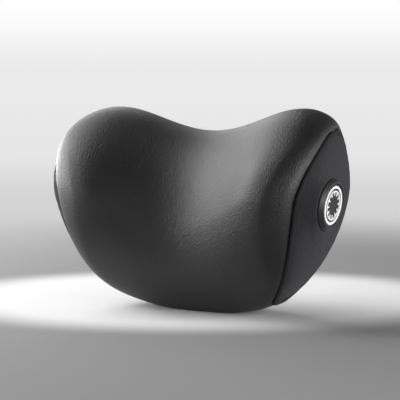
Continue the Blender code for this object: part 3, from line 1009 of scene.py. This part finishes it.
def add_lamp(name, azimuth, elevation, distance, size, power):
    """A soft box that faces the pillow. Azimuth 0 is in front of it, and 90 is at its right end."""
    data = bpy.data.lights.new(name, "AREA")
    data.shape = "RECTANGLE"
    data.size, data.size_y = size
    data.energy = power
    lamp = bpy.data.objects.new(name, data)
    bpy.context.scene.collection.objects.link(lamp)
    side, up = math.radians(azimuth), math.radians(elevation)
    direction = Vector((math.sin(side) * math.cos(up), -math.cos(side) * math.cos(up), math.sin(up)))
    target = Vector((0.0, 0.0, HEIGHT / 2))
    lamp.location = target + direction * distance
    lamp.rotation_euler = (-direction).to_track_quat("-Z", "Y").to_euler()


def ramp(tree, share, stops):
    """Grey levels at shares from 0 to 1, smoothly joined."""
    node = add_node(tree, "ShaderNodeValToRGB", {"Fac": share})
    node.color_ramp.interpolation = "EASE"
    elements = node.color_ramp.elements
    while len(elements) < len(stops):
        elements.new(0.5)
    for element, (place, grey) in zip(elements, stops):
        element.position = place
        element.color = (grey, grey, grey, 1.0)
    return node.outputs["Color"]


def away_from_camera(tree, place, rise):
    """Rises from the front's dimness to 1, from a place in front of the middle to one behind it."""
    forward = (-math.sin(CAMERA_AZIMUTH), math.cos(CAMERA_AZIMUTH), 0.0)
    ahead = add_node(tree, "ShaderNodeVectorMath", {0: place, 1: forward}, operation="DOT_PRODUCT")
    start, end = rise
    share = {"Value": ahead.outputs["Value"], "From Min": start, "From Max": end, "To Min": FRONT_DIM}
    return add_node(tree, "ShaderNodeMapRange", share, interpolation_type="SMOOTHSTEP").outputs[0]


def seen_directly(tree):
    """1 for rays from the camera, and for reflected and refracted ones, else 0."""
    path = add_node(tree, "ShaderNodeLightPath").outputs
    seen = path["Is Camera Ray"]
    for kind in ("Is Glossy Ray", "Is Transmission Ray"):
        seen = add_node(tree, "ShaderNodeMath", {0: seen, 1: path[kind]}, operation="MAXIMUM").outputs[0]
    return seen


def add_floor():
    """A pale floor with a pool of light painted into its colour round the pillow, which fades into the far
    background.
    """
    mesh = bpy.data.meshes.new("floor")
    signs = ((-1, -1), (1, -1), (1, 1), (-1, 1))
    corners = [(x * FLOOR_HALF, y * FLOOR_HALF, FLOOR_LEVEL) for x, y in signs]
    mesh.from_pydata(corners, [], [(0, 1, 2, 3)])
    floor = bpy.data.objects.new("floor", mesh)
    bpy.context.scene.collection.objects.link(floor)
    material, tree, shader = start_material("pale floor", 0.9, 0.1)
    place = add_node(tree, "ShaderNodeTexCoord").outputs["Object"]
    facing = {"Vector": place, "Rotation": (0.0, 0.0, -CAMERA_AZIMUTH)}
    turned = add_node(tree, "ShaderNodeMapping", facing)
    # The oval of the pool of light that is painted into the floor's colour
    oval = {
        "Vector": turned.outputs[0],
        "Location": (0.0, -POOL_MIDDLE / POOL_SIZE[1], 0.0),
        "Scale": (1 / POOL_SIZE[0], 1 / POOL_SIZE[1], 0.0),
    }
    pool = add_node(tree, "ShaderNodeMapping", oval)
    across = add_node(tree, "ShaderNodeVectorMath", {0: pool.outputs[0]}, operation="LENGTH")
    edge = {"Value": across.outputs["Value"], "From Min": POOL_EDGE[0], "From Max": POOL_EDGE[1]}
    near = add_node(tree, "ShaderNodeMapRange", edge)
    # Painted pool of light: the floor's own colour is pale inside the oval and a darker grey outside it
    painted_pool_colour = ramp(tree, near.outputs[0], ((0.0, PAINTED_POOL_GREY), (1.0, PAINTED_DIM_GREY)))
    tree.links.new(painted_pool_colour, shader.inputs["Base Color"])
    distance = add_node(tree, "ShaderNodeVectorMath", {0: place}, operation="LENGTH").outputs["Value"]
    beyond = add_node(tree, "ShaderNodeMath", {0: distance, 1: FAR_HALFWAY}, operation="ADD")
    far_share = add_node(tree, "ShaderNodeMath", {0: distance, 1: beyond.outputs[0]}, operation="DIVIDE")
    far_colour = ramp(tree, far_share.outputs[0], FAR_GREYS)
    glow = add_node(tree, "ShaderNodeEmission", {"Color": far_colour})
    behind = away_from_camera(tree, place, FLOOR_RISE)
    strength = add_node(tree, "ShaderNodeMath", {0: seen_directly(tree), 1: behind}, operation="MULTIPLY")
    tree.links.new(strength.outputs[0], glow.inputs["Strength"])
    fade_range = {"Value": distance, "From Min": FLOOR_FADE[0], "From Max": FLOOR_FADE[1]}
    fade = add_node(tree, "ShaderNodeMapRange", fade_range, interpolation_type="SMOOTHSTEP")
    parts = {0: fade.outputs[0], 1: shader.outputs[0], 2: glow.outputs[0]}
    mix = add_node(tree, "ShaderNodeMixShader", parts)
    tree.links.new(mix.outputs[0], tree.nodes["Material Output"].inputs["Surface"])
    mesh.materials.append(material)


def add_world():
    """A pale backdrop low round the horizon, under a dim ceiling, and weak even light."""
    world = bpy.data.worlds.new("studio")
    bpy.context.scene.world = world
    world.use_nodes = True
    tree = world.node_tree
    direction = add_node(tree, "ShaderNodeTexCoord").outputs["Generated"]
    height = add_node(tree, "ShaderNodeSeparateXYZ", {"Vector": direction}).outputs["Z"]
    backdrop = ramp(tree, height, BACKDROP_GREYS)
    behind = away_from_camera(tree, direction, BACKDROP_RISE)
    seen = add_node(tree, "ShaderNodeBackground", {"Color": backdrop, "Strength": behind})
    even = tree.nodes["Background"]
    even.inputs["Color"].default_value = (1.0, 1.0, 1.0, 1.0)
    even.inputs["Strength"].default_value = AMBIENT
    parts = {0: seen_directly(tree), 1: even.outputs[0], 2: seen.outputs[0]}
    mix = add_node(tree, "ShaderNodeMixShader", parts)
    tree.links.new(mix.outputs[0], tree.nodes["World Output"].inputs["Surface"])


MATERIALS = {
    "leather": leather_material(),
    "panel_fabric": fabric_material(),
    "foam": foam_material(),
    "badge_rubber": rubber_material(),
    "badge_inlay": inlay_material(),
    "webbing": webbing_material(),
}

make_foam()
make_leather_wrap()
make_back_panel()
make_side_panel("panel_right", 1, "side_panel_right")
make_side_panel("panel_left", -1, "side_panel_left")
make_tapes()
make_badge()
make_strap()
make_stitches()
add_camera()
for lamp_name, lamp_settings in LAMPS.items():
    add_lamp(lamp_name, *lamp_settings)
add_floor()
add_world()
bpy.context.scene.view_settings.view_transform = "Standard"
